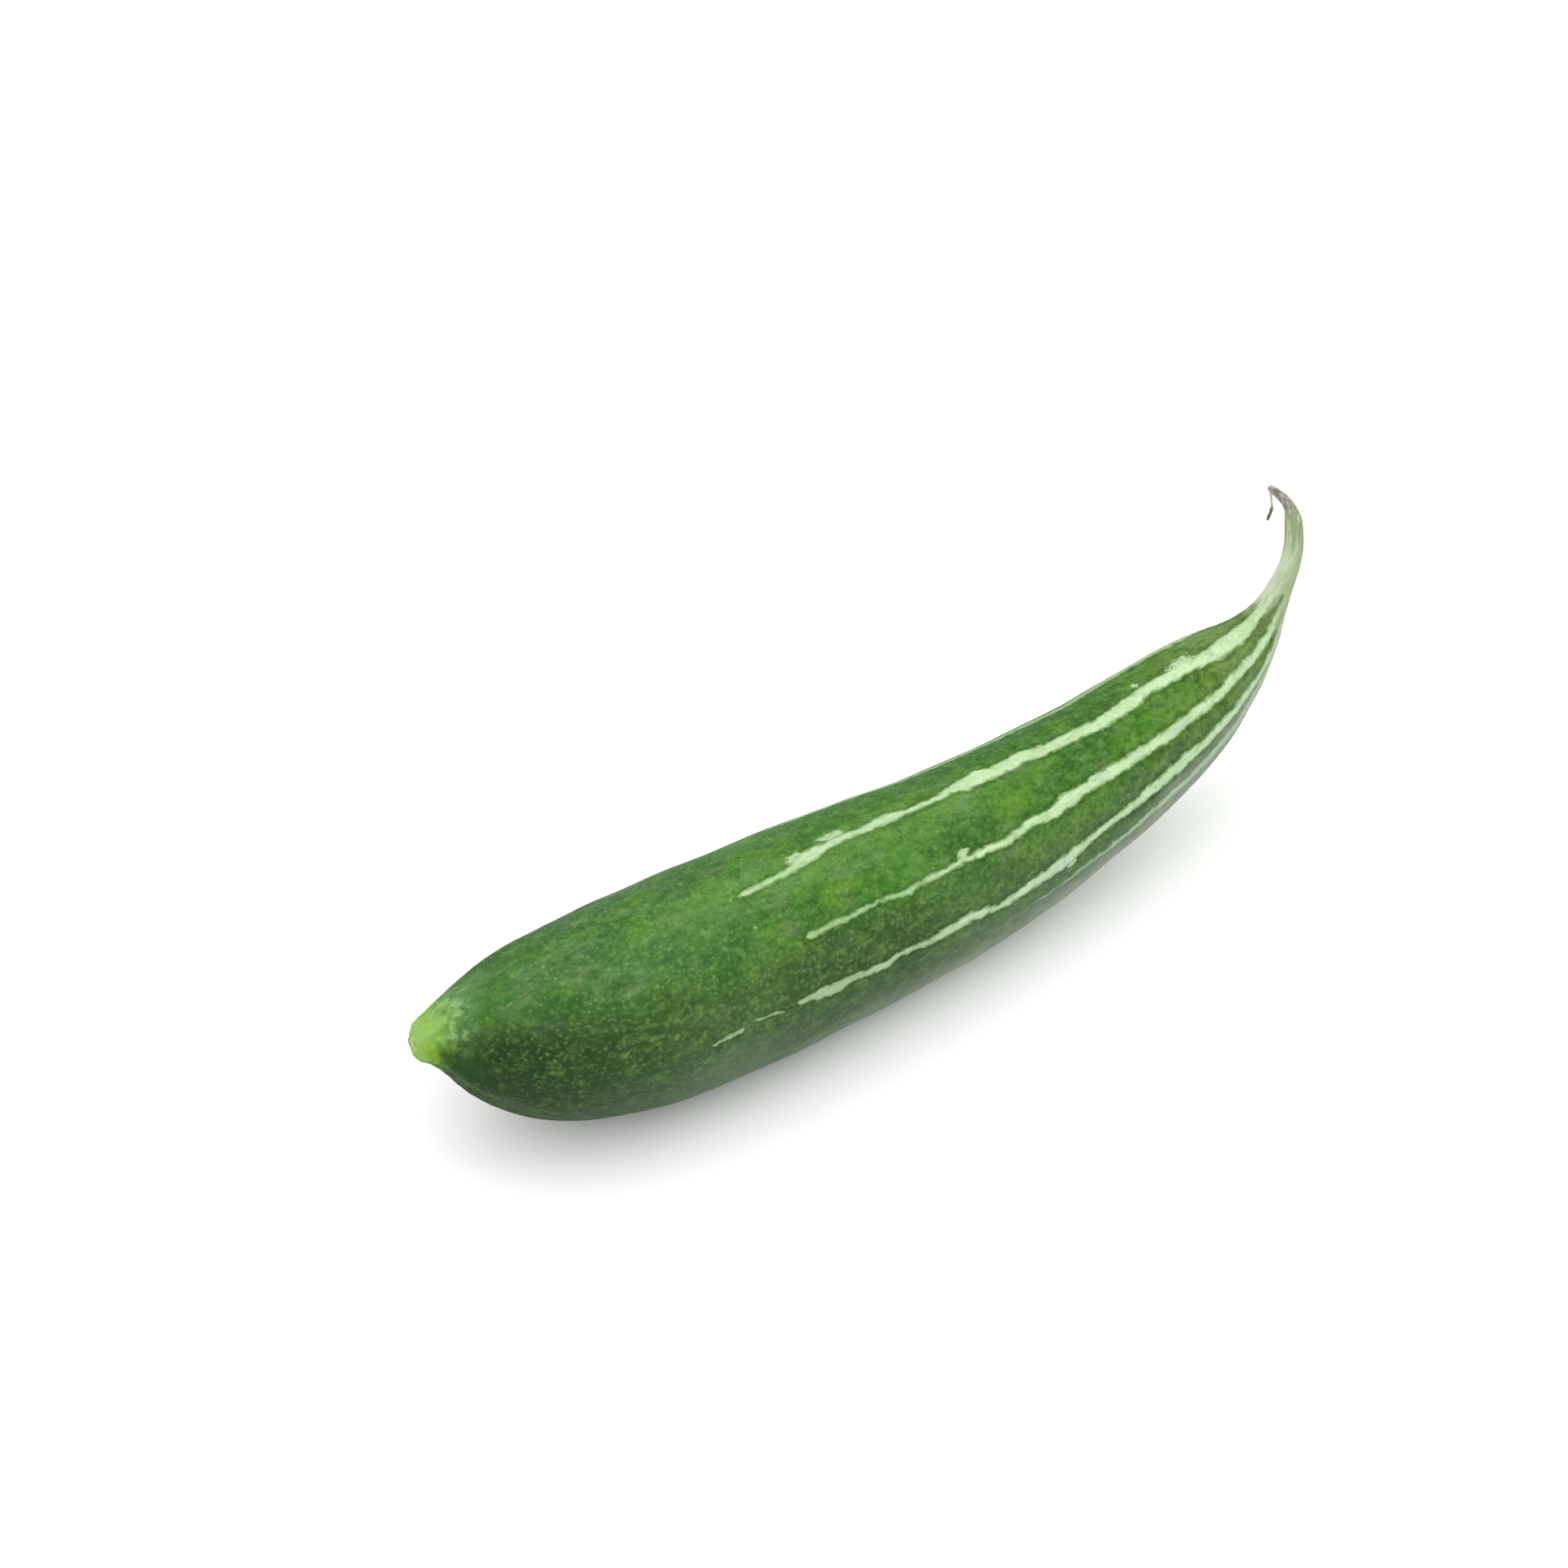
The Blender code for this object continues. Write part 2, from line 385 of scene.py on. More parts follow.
def patch_shape(place, angle, away):
    """1 in the middle of a pale patch, down to 0 at its edge and below 0 outside it."""
    distance = place * LENGTH / MM
    inside = np.full(away.shape, -1.0)
    for start, middle, half_length, half_width in PATCHES:
        along = (distance - start) / half_length
        across = turned(angle, middle) * np.radians(away) / MM / half_width
        inside = np.maximum(inside, 1.0 - along**2 - across**2)
    return inside


def relief(place, angle, away):
    """What the skin adds to the solid's radius."""
    points = straightened(place, away, angle)
    added = sum(height * grain(points, size, stretch) for height, size, stretch in RELIEF)
    fibres = grain(points, FIBRE_SIZE, FIBRE_STRETCH)
    added += through(FIBRE_HEIGHTS, place) * fibres
    for line in STRIPES:
        middle, half = followed(line, place)
        across = np.abs(turned(angle, middle)) * np.radians(away) / MM
        added += STRIPE_RISE * eased(half + STRIPE_SLOPE - across)
    return added * np.minimum(away / FULL_RELIEF_RADIUS, 1.0)


def placed(place, angle, away):
    """Points at a distance from the middle line."""
    heading, climb = headings(place[:, 0])
    along = directions(heading, climb)
    side = np.column_stack([-np.sin(heading), np.cos(heading), np.zeros(len(place))])
    top = np.cross(along, side)
    turn = np.radians(angle)[..., None]
    spoke = np.cos(turn) * side[:, None, :] + np.sin(turn) * top[:, None, :]
    return middle_line(place[:, 0])[:, None, :] + away[..., None] * spoke


def skin_rings():
    """Places, angles, radii and points of all rings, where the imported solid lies."""
    place = ring_places()[:, None]
    angle = (np.arange(SIDES) * 360.0 / SIDES)[None, :]
    smooth = radius(place, angle)
    shift = placed(place, angle, smooth)
    low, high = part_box(NODE)
    middle = (shift.min(axis=(0, 1)) + shift.max(axis=(0, 1))) / 2
    middle[:2] -= np.array((low + high) / 2)[:2]
    middle[2] = shift[..., 2].min() + FLAT_DEPTH
    away = smooth + relief(place, angle, smooth)
    points = placed(place, angle, away) - middle
    points[..., 2] = np.maximum(points[..., 2], low.z)
    return place, angle, away, points


def cap_rings(ring, outward, profile):
    """Rings that close an end: each is the end ring drawn in and moved outward."""
    middle = ring.mean(axis=0)
    return [middle + (ring - middle) * share + outward * height for share, height in profile]


def store(mesh, name, values):
    kind = "FLOAT" if values.ndim == 1 else "FLOAT_VECTOR"
    field = "value" if kind == "FLOAT" else "vector"
    attribute = mesh.attributes.new(name, kind, "POINT")
    attribute.data.foreach_set(field, values.astype(np.float32).ravel())


def closed_tube(name, rings, first_pole, last_pole):
    """A mesh of rings in a row, closed by a point at each end, with a map along and round it."""
    count, sides = rings.shape[:2]
    verts = np.vstack([first_pole, rings.reshape(-1, 3), last_pole])
    faces = []
    maps = []
    step = np.linalg.norm(np.diff(rings.mean(axis=1), axis=0), axis=1)
    spread = np.linalg.norm(np.diff(rings, axis=0), axis=2).mean(axis=1)
    down = np.concatenate([[0.0], np.cumsum(np.maximum(step, spread))])
    down = MAP_END + (1 - 2 * MAP_END) * down / down[-1]
    for i in range(sides):
        j = (i + 1) % sides
        u, v = i / sides, (i + 1) / sides
        faces.append((0, 1 + j, 1 + i))
        maps += [((u + v) / 2, 0.0), (v, down[0]), (u, down[0])]
        for k in range(count - 1):
            a = 1 + k * sides
            b = a + sides
            faces.append((a + i, a + j, b + j, b + i))
            maps += [(u, down[k]), (v, down[k]), (v, down[k + 1]), (u, down[k + 1])]
        end = 1 + (count - 1) * sides
        faces.append((len(verts) - 1, end + i, end + j))
        maps += [((u + v) / 2, 1.0), (u, down[-1]), (v, down[-1])]
    mesh = bpy.data.meshes.new(name)
    mesh.from_pydata(verts.tolist(), [], faces)
    mesh.uv_layers.new(name="OFBake").data.foreach_set("uv", np.array(maps).ravel())
    mesh.shade_smooth()
    return mesh


def gourd():
    """The whole gourd, with what its finish needs to know stored on its points."""
    place, angle, away, points = skin_rings()
    heading, climb = headings(np.array([0.0, 1.0]))
    ends = directions(heading, climb)
    cut = cap_rings(points[0], -ends[0], CUT_PROFILE)[::-1]
    tip = cap_rings(points[-1], ends[1], TIP_PROFILE)
    rings = np.stack(cut + list(points) + tip)
    mesh = closed_tube("gourd", rings, cut[0].mean(axis=0), tip[-1].mean(axis=0))

    def spread(values, start, end):
        """Values of the rings, carried on to both caps, whose poles take the value given."""
        first = np.repeat(values[:1], len(cut), axis=0)
        last = np.repeat(values[-1:], len(tip), axis=0)
        body = np.concatenate([first, values, last])
        body = body.reshape(-1, *values.shape[2:])
        return np.concatenate([np.array(start, ndmin=body.ndim), body, np.array(end, ndmin=body.ndim)])

    def drawn_in(ring, profile):
        """The end ring's own values on the rings of its cap."""
        return [ring * [1.0, share, share] for share, height in profile]

    grown = straightened(place, away, angle) / MM
    patch = patch_shape(place, angle, away)
    capped = drawn_in(grown[0], CUT_PROFILE[::-1]) + list(grown) + drawn_in(grown[-1], TIP_PROFILE)
    poles = grown[0, 0] * [1, 0, 0], grown[-1, 0] * [1, 0, 0]
    store(mesh, "grown", np.vstack([poles[0], *capped, poles[1]]))
    store(mesh, "place", spread(place + 0 * angle, 0.0, 1.0))
    store(mesh, "height", spread(np.sin(np.radians(angle)) + 0 * place, 0.0, 0.0))
    for i, line in enumerate(STRIPES + (OLIVE_LINE,)):
        middle, half = followed(line, place)
        known = np.stack([np.radians(middle), half, 0 * half], axis=-1) + 0 * grown
        store(mesh, f"stripe_{i}", spread(known, known[0, 0], known[-1, 0]))
    store(mesh, "patch", spread(patch, -1.0, -1.0))
    depth = np.zeros((len(rings), SIDES))
    depth[: len(cut)] = 1.0 - np.array([share for share, height in CUT_PROFILE[::-1]])[:, None]
    store(mesh, "cut", np.concatenate([[1.0], depth.ravel(), [0.0]]))
    obj = bpy.data.objects.new("gourd", mesh)
    bpy.context.scene.collection.objects.link(obj)
    return obj, Vector(points[-1].mean(axis=0))


def remnant(tip):
    """The thread that is left of the flower: thin where it leaves the tip, and shrivelled at its end."""
    offsets = np.array([offset for offset, size in REMNANT])
    sizes = np.array([size for offset, size in REMNANT])
    knots = np.linspace(0.0, 1.0, len(REMNANT))
    fine = np.linspace(0.0, 1.0, REMNANT_STEPS)
    path = np.column_stack([through(np.column_stack([knots, offsets[:, axis]]), fine) for axis in range(3)])
    size = through(np.column_stack([knots, sizes]), fine)
    along = np.gradient(path, axis=0)
    along /= np.linalg.norm(along, axis=1)[:, None]
    side = np.cross(along, REMNANT_FACING)
    side /= np.linalg.norm(side, axis=1)[:, None]
    top = np.cross(along, side)
    turn = np.arange(REMNANT_SIDES) * 2 * math.pi / REMNANT_SIDES
    # Flattened and creased, as a dried petal is.
    flattened = REMNANT_FLATNESS * np.cos(2 * turn[None, :] + REMNANT_TWIST * fine[:, None])
    creased = REMNANT_CREASE_DEPTH * np.cos(REMNANT_CREASES * turn + 1.0)[None, :]
    away = (size[:, None] * (1.0 + flattened + creased))[..., None]
    spoke = np.cos(turn)[None, :, None] * side[:, None] + np.sin(turn)[None, :, None] * top[:, None]
    rings = (np.array(tip) + path[:, None] + away * spoke) * MM
    mesh = closed_tube("flower_remnant", rings, rings[0].mean(axis=0), rings[-1].mean(axis=0))
    store(mesh, "place", np.concatenate([[0.0], np.repeat(fine, REMNANT_SIDES), [1.0]]))
    obj = bpy.data.objects.new("flower_remnant", mesh)
    bpy.context.scene.collection.objects.link(obj)
    return obj


def linear(colour):
    """An sRGB colour of 0 to 255 as the linear one that a shader takes."""
    share = np.array(colour) / 255.0
    curve = np.where(share <= 0.04045, share / 12.92, ((share + 0.055) / 1.055) ** 2.4)
    return (*curve, 1.0)


class Finish:
    """A node material, with short calls for the nodes that it is made of."""

    def __init__(self, name):
        self.material = bpy.data.materials.new(name)
        self.material.use_nodes = True
        self.tree = self.material.node_tree
        self.shader = self.tree.nodes["Principled BSDF"]

    def feed(self, socket, value):
        if isinstance(value, bpy.types.NodeSocket):
            self.tree.links.new(value, socket)
        else:
            socket.default_value = value

    def attribute(self, name, output="Fac"):
        node = self.tree.nodes.new("ShaderNodeAttribute")
        node.attribute_name = name
        return node.outputs[output]

    def math(self, operation, *values):
        node = self.tree.nodes.new("ShaderNodeMath")
        node.operation = operation
        for socket, value in zip(node.inputs, values):
            self.feed(socket, value)
        return node.outputs[0]

    def times(self, first, second):
        return self.math("MULTIPLY", first, second)

    def centred(self, value, width):
        """A value of 0 to 1 spread evenly about 0 instead, over a width."""
        node = self.tree.nodes.new("ShaderNodeMath")
        node.operation = "MULTIPLY_ADD"
        self.feed(node.inputs[0], value)
        node.inputs[1].default_value = width
        node.inputs[2].default_value = -width / 2
        return node.outputs[0]

    def parts(self, vector):
        node = self.tree.nodes.new("ShaderNodeSeparateXYZ")
        self.feed(node.inputs[0], vector)
        return node.outputs

    def scaled(self, vector, factors):
        node = self.tree.nodes.new("ShaderNodeVectorMath")
        node.operation = "MULTIPLY"
        self.feed(node.inputs[0], vector)
        node.inputs[1].default_value = factors
        return node.outputs[0]

    def grain(self, vector, size, stretch=1.0, detail=2.0):
        """Random values of about 0 to 1 in bumps of a size, which may be longer along the gourd."""
        node = self.tree.nodes.new("ShaderNodeTexNoise")
        self.feed(node.inputs["Vector"], self.scaled(vector, (1 / stretch / size, 1 / size, 1 / size)))
        node.inputs["Scale"].default_value = 1.0
        node.inputs["Detail"].default_value = detail
        return node.outputs[0]

    def step(self, value, low, high, first=0.0, last=1.0):
        """Eases from the first value at low to the last value at high."""
        node = self.tree.nodes.new("ShaderNodeMapRange")
        node.interpolation_type = "SMOOTHSTEP"
        self.feed(node.inputs["Value"], value)
        node.inputs["From Min"].default_value = low
        node.inputs["From Max"].default_value = high
        node.inputs["To Min"].default_value = first
        node.inputs["To Max"].default_value = last
        return node.outputs[0]

    def mix(self, share, first, second):
        node = self.tree.nodes.new("ShaderNodeMix")
        node.data_type = "RGBA"
        self.feed(node.inputs[0], share)
        self.feed(node.inputs[6], first)
        self.feed(node.inputs[7], second)
        return node.outputs[2]

    def dots(self, vector, gap, size, share):
        """Uneven dots a gap apart, with only a share of them there. The share may be a socket."""
        node = self.tree.nodes.new("ShaderNodeTexVoronoi")
        self.feed(node.inputs["Vector"], self.scaled(vector, (1 / gap, 1 / gap, 1 / gap)))
        node.inputs["Scale"].default_value = 1.0
        parts = self.tree.nodes.new("ShaderNodeSeparateColor")
        self.feed(parts.inputs[0], node.outputs["Color"])
        # The edge of a dot is soft, and wanders by 0.6 of its size either way at most.
        uneven = self.centred(self.grain(vector, gap / 4, 1.0), size * 1.2)
        near = self.step(self.math("ADD", node.outputs["Distance"], uneven), size * 1.5, size * 0.6)
        kept = self.math("LESS_THAN", parts.outputs[0], share)
        return self.times(near, kept)


# Colours, in 0 to 255 sRGB.
GREEN = (64, 116, 34)
GREEN_DEEP = (50, 98, 30)
GREEN_YELLOW = (82, 126, 32)
GREEN_GREY = (94, 120, 76)
GREEN_BLOOM_AND_SHEEN = (70, 106, 66)
GREEN_CROWN_HIGHLIGHT = (104, 148, 74)
GREEN_OLIVE = (87, 116, 46)
GREEN_NECK = (122, 148, 86)
GREEN_SIDE_SHADE = (72, 86, 66)
GREEN_SHADE_AND_DARK_MARKS = (26, 50, 17)
SIDE_SHEEN_GREY = (98, 110, 98)
UNDER_SHEEN_GREY = (130, 140, 126)
UNDER_GREEN = (130, 150, 114)
UNDER_DARK = (106, 122, 94)
UNDER_BROWN = (136, 134, 110)
SPECKLE = (112, 148, 76)
DOT = (132, 170, 104)
STRIPE = (172, 200, 152)
STRIPE_BRIGHT = (184, 213, 168)
STRIPE_BLUE = (166, 192, 168)
STRIPE_SHADE_AND_GREEN = (126, 160, 102)
STRIPE_GREY = (166, 186, 162)
STRIPE_SHADE_GREY = (128, 150, 122)
NUB = (122, 162, 52)
NUB_PALE_AND_LIT = (138, 178, 96)
NUB_OLIVE = (88, 130, 34)
COLLAR = (86, 124, 74)
RIDGE_PALE = (142, 184, 122)
GREEN_STUB_SHADE = (30, 66, 18)
BEAK = (174, 188, 154)
BEAK_PALE = (188, 196, 172)
BEAK_OLIVE = (122, 136, 98)
OLIVE = (86, 108, 62)
DRY = (114, 110, 100)
DRY_PALE = (164, 160, 148)
PETAL_DRY = (104, 88, 62)
PETAL_PALE = (206, 202, 176)
CUT = (158, 186, 108)
CUT_DRY = (140, 166, 88)
CUT_STRAND = (196, 206, 150)
CUT_PITH = (116, 132, 66)
CUT_RIM = (138, 156, 80)

# Marks in the green: (size in mm, how many times longer than wide, how pale, how dark, how much
# stronger on the neck).
MOTTLES = (
    (0.9, 1.2, 0.40, 0.40, 1.0),
    (2.3, 1.4, 0.32, 0.34, 1.5),
)

# How far inside a stripe a point counts as being, in mm, before any stripe is compared with it.
FAR_OUTSIDE = -20.0

# Everything here is dull, and the skin is finely uneven.
SPECULAR = 0.1
BUMP_STRENGTH = 0.35
BUMP_DISTANCE = 0.25 * MM
PETAL_ROUGHNESS = 0.8


def ground_green(finish, grown):
    """The green between the stripes: cloudy, bluish on top of the stalk half, olive at the neck, with
    painted light and shade on its top and sides.
    """
    place = finish.attribute("place")
    height = finish.attribute("height")
    patchy = finish.step(finish.grain(grown, 14, 1.8), 0.34, 0.66)
    colour = finish.mix(patchy, linear(GREEN_DEEP), linear(GREEN))
    yellow = finish.step(finish.grain(finish.scaled(grown, (1, -1, 1)), 8, 1.8), 0.46, 0.68, 0.0, 0.75)
    colour = finish.mix(yellow, colour, linear(GREEN_YELLOW))
    # Bluish on top of the stalk half: partly a waxy bloom, partly a painted sheen from the light above.
    cloudy = finish.grain(finish.scaled(grown, (-1, 1, 1)), 18, 1.3)
    stem_half = finish.step(place, 0.42, 0.05)
    upper = finish.step(height, 0.1, 0.95)
    bloom_and_sheen = finish.times(finish.times(stem_half, upper), finish.step(cloudy, 0.3, 0.7))
    colour = finish.mix(finish.times(bloom_and_sheen, 0.8), colour, linear(GREEN_BLOOM_AND_SHEEN))
    dull = finish.step(finish.grain(finish.scaled(grown, (-1, -1, 1)), 5, 1.6, 3.0), 0.50, 0.72, 0.0, 0.6)
    colour = finish.mix(dull, colour, linear(GREEN_GREY))
    colour = finish.mix(finish.step(place, 0.66, 0.84, 0.0, 0.85), colour, linear(GREEN_OLIVE))
    neck = finish.step(place, 0.76, 0.80, 0.0, 0.45)
    neck = finish.times(neck, finish.step(place, 0.80, 0.85, 1.0, 0.2))
    colour = finish.mix(neck, colour, linear(GREEN_NECK))
    # Darker low on the sides, less so on the beak: painted shade.
    side = finish.step(height, 0.85, 0.30, 0.0, 0.55)
    side = finish.times(side, finish.step(place, 0.82, 0.70, 0.3, 1.0))
    colour = finish.mix(side, colour, linear(GREEN_SIDE_SHADE))
    # Greyer low down: a painted sheen from the pale floor.
    colour = finish.mix(finish.step(height, 0.22, -0.20, 0.0, 0.5), colour, linear(SIDE_SHEEN_GREY))
    # Painted highlight on its crown; painted shade towards +Y, partly a deeper green there; painted shade
    # on its front flank and on the shoulder by the stalk.
    sideways = finish.parts(grown)[1]
    belly = finish.times(finish.step(place, 0.15, 0.24), finish.step(place, 0.62, 0.45))
    crown_highlight = finish.times(finish.step(height, 0.80, 1.0, 0.0, 0.35), finish.step(sideways, 6, -4))
    colour = finish.mix(finish.times(belly, crown_highlight), colour, linear(GREEN_CROWN_HIGHLIGHT))
    front = finish.times(finish.step(place, 0.30, 0.42), finish.step(place, 0.72, 0.62))
    far_side_shade = finish.times(front, finish.step(sideways, 1.5, 7, 0.0, 0.7))
    colour = finish.mix(far_side_shade, colour, linear(GREEN_DEEP))
    middle = finish.times(finish.step(place, 0.20, 0.29), finish.step(place, 0.47, 0.38))
    flank_shade = finish.times(finish.step(height, 0.80, 0.50, 0.0, 0.42), finish.step(sideways, 4, -4))
    colour = finish.mix(finish.times(middle, flank_shade), colour, linear(GREEN_SHADE_AND_DARK_MARKS))
    shoulder_shade = finish.times(finish.step(place, 0.30, 0.05, 0.0, 0.93), finish.step(height, 1.0, 0.45))
    return finish.mix(shoulder_shade, colour, linear(GREEN_SHADE_AND_DARK_MARKS))


def mottled(finish, grown, colour):
    """Pale and dark marks of two sizes, stronger on the neck, with pale dots mostly on the stalk half."""
    place = finish.attribute("place")
    height = finish.attribute("height")
    softer = finish.step(place, 0.02, 0.16, 0.7, 1.0)
    softer = finish.times(softer, finish.step(height, -0.2, 0.3, 0.6, 1.0))
    for size, stretch, pale, dark, neck in MOTTLES:
        marks = finish.grain(grown, size, stretch, 3.0)
        strength = finish.times(finish.step(place, 0.40, 0.72, 1.0, neck), softer)
        light = finish.times(finish.step(marks, 0.50, 0.74, 0.0, pale), strength)
        colour = finish.mix(light, colour, linear(SPECKLE))
        shade = finish.times(finish.step(marks, 0.50, 0.27, 0.0, dark), strength)
        colour = finish.mix(shade, colour, linear(GREEN_SHADE_AND_DARK_MARKS))
    share = finish.step(place, 0.60, 0.10, 0.04, 0.38)
    clear = finish.step(height, 0.1, 0.9, 0.35, 1.0)
    large = finish.dots(finish.scaled(grown, (1, 1, -1)), 2.1, 0.18, share)
    large = finish.times(large, finish.times(clear, 0.32))
    colour = finish.mix(large, colour, linear(DOT))
    small = finish.dots(grown, 1.2, 0.24, share)
    small = finish.times(small, finish.times(clear, 0.3))
    return finish.mix(small, colour, linear(DOT))


def underside(finish, grown, colour):
    """Where the fruit lay it is pale, more so towards the beak: greener behind, and greyish in front with a
    painted sheen from the floor.
    """
    place = finish.attribute("place")
    sideways = finish.parts(grown)[1]
    cloudy = finish.centred(finish.grain(grown, 12, 1.5, 3.0), 0.5)
    crumbs = finish.centred(finish.grain(grown, 1.6, 1.3, 3.0), 0.25)
    low = finish.math("ADD", finish.attribute("height"), finish.math("ADD", cloudy, crumbs))
    low = finish.math("SUBTRACT", low, finish.step(place, 0.42, 0.82, 0.0, 0.5))
    share = finish.times(finish.step(low, -0.12, -0.60), finish.step(place, 0.12, 0.55, 0.05, 0.92))
    # Stronger and greyer in front: painted sheen from the pale floor over the paleness where it lay.
    share = finish.times(share, finish.step(sideways, -4, 12, 1.0, 0.7))
    pale = finish.mix(finish.step(sideways, -16, -5), linear(UNDER_SHEEN_GREY), linear(UNDER_GREEN))
    marks = finish.step(finish.grain(grown, 1.8, 1.3, 3.0), 0.48, 0.70, 0.0, 0.5)
    pale = finish.mix(marks, pale, linear(UNDER_DARK))
    rubbed = finish.grain(finish.scaled(grown, (1, 1, -1)), 5, 1.4, 4.0)
    rubbed = finish.step(rubbed, 0.52, 0.70, 0.0, 0.55)
    pale = finish.mix(rubbed, pale, linear(UNDER_BROWN))
    return finish.mix(share, colour, pale)


def inside_of(finish, grown, numbers):
    """How far inside the nearest edge of some stripes a point is, in mm, and below 0 outside them."""
    along, level, upright = finish.parts(grown)
    angle = finish.math("ARCTAN2", upright, level)
    square = finish.math("MULTIPLY_ADD", upright, upright, finish.times(level, level))
    away = finish.math("SQRT", square)
    wander = finish.centred(finish.grain(grown, 30, 0.12, 2.0), 0.8)
    inside = FAR_OUTSIDE
    for i in numbers:
        line, half, unused = finish.parts(finish.attribute(f"stripe_{i}", "Vector"))
        turn = finish.math("WRAP", finish.math("SUBTRACT", angle, line), math.pi, -math.pi)
        across = finish.math("ABSOLUTE", finish.math("MULTIPLY_ADD", turn, away, wander))
        inside = finish.math("MAXIMUM", inside, finish.math("SUBTRACT", half, across))
    return inside


def striped(finish, grown, colour):
    """Ragged pale bands, with a darker green edge and crumbling patches beside them."""
    inside = inside_of(finish, grown, range(len(STRIPES)))
    nicks = finish.centred(finish.grain(grown, 1.2, 1.8, 2.0), 1.7)
    ragged = finish.math("ADD", inside, nicks)
    height = finish.attribute("height")
    edge = finish.times(finish.step(ragged, -1.5, -0.2, 0.0, 0.3), finish.step(height, -0.3, 0.2))
    colour = finish.mix(edge, colour, linear(GREEN_SHADE_AND_DARK_MARKS))
    # Fainter low on the front, where they have only begun to show.
    faint = finish.step(height, -0.25, 0.10, 0.5, 1.0)
    faint = finish.math("MAXIMUM", faint, finish.step(height, -0.50, -0.75, 0.0, 0.85))
    band = finish.times(finish.step(ragged, -0.32, 0.34), faint)
    crumbs = finish.centred(finish.grain(grown, 0.9, 1.8, 3.0), 3.0)
    patch = finish.math("ADD", finish.attribute("patch"), crumbs)
    mask = finish.math("MAXIMUM", band, finish.step(patch, -0.05, 0.55, 0.0, 0.85))
    uneven = finish.step(finish.grain(grown, 4.5, 2.2), 0.36, 0.68)
    pale = finish.mix(uneven, linear(STRIPE), linear(STRIPE_BRIGHT))
    bluish = finish.grain(finish.scaled(grown, (-1, 1, -1)), 2.6, 3.0, 3.0)
    bluish = finish.step(bluish, 0.52, 0.68, 0.0, 0.6)
    pale = finish.mix(bluish, pale, linear(STRIPE_BLUE))
    low = finish.step(height, 0.5, -0.1, 0.0, 0.85)
    pale = finish.mix(low, pale, linear(STRIPE_GREY))
    shade = finish.mix(low, linear(STRIPE_SHADE_AND_GREEN), linear(STRIPE_SHADE_GREY))
    streaks = finish.step(finish.grain(grown, 0.9, 2.5, 3.0), 0.45, 0.75, 0.0, 0.5)
    pale = finish.mix(streaks, pale, shade)
    # Greener towards their edges and where they start, and darker on the +Y side with painted shade.
    pale = finish.mix(finish.step(finish.math("MAXIMUM", ragged, patch), 0.85, 0.1), pale, shade)
    starting = finish.step(finish.attribute("place"), 0.48, 0.32, 0.0, 0.6)
    below_top = finish.step(height, 1.0, 0.7, 0.3, 1.0)
    pale = finish.mix(finish.times(starting, below_top), pale, shade)
    sideways = finish.parts(grown)[1]
    pale = finish.mix(finish.step(sideways, 4, 9, 0.0, 0.75), pale, shade)
    return finish.mix(mask, colour, pale), mask


def beaked(finish, grown, colour):
    """The beak: pale sage with an olive line, then olive, then dry and brown at the tip."""
    place = finish.attribute("place")
    along = finish.math("ADD", place, finish.centred(finish.grain(grown, 1.4, 6.0, 3.0), 0.06))
    fibres = finish.step(finish.grain(grown, 0.8, 9.0, 2.0), 0.40, 0.66, 0.0, 0.55)
    beak = finish.mix(fibres, linear(BEAK), linear(BEAK_OLIVE))
    sideways = finish.parts(grown)[1]
    upper_side = finish.step(sideways, -0.5, 2.0, 0.0, 0.8)
    root = finish.times(upper_side, finish.step(place, 0.955, 0.900))
    beak = finish.mix(root, beak, linear(BEAK_PALE))
    # Darker olive along its -Y side: painted shade.
    beak = finish.mix(finish.step(sideways, -0.6, -2.2, 0.0, 0.55), beak, linear(BEAK_OLIVE))
    colour = finish.mix(finish.step(along, 0.840, 0.885, 0.0, 0.95), colour, beak)
    line = finish.step(inside_of(finish, grown, [len(STRIPES)]), -0.5, 0.4)
    colour = finish.mix(line, colour, linear(OLIVE))
    streaks = finish.step(finish.grain(grown, 0.7, 7.0, 2.0), 0.44, 0.70)
    olive = finish.mix(streaks, linear(BEAK_OLIVE), linear(BEAK))
    colour = finish.mix(finish.step(along, 0.915, 0.950, 0.0, 0.85), colour, olive)
    worn = finish.step(finish.grain(grown, 0.6, 3.0, 3.0), 0.4, 0.62)
    dry = finish.mix(worn, linear(DRY), linear(DRY_PALE))
    return finish.mix(finish.step(along, 0.958, 0.978), colour, dry)


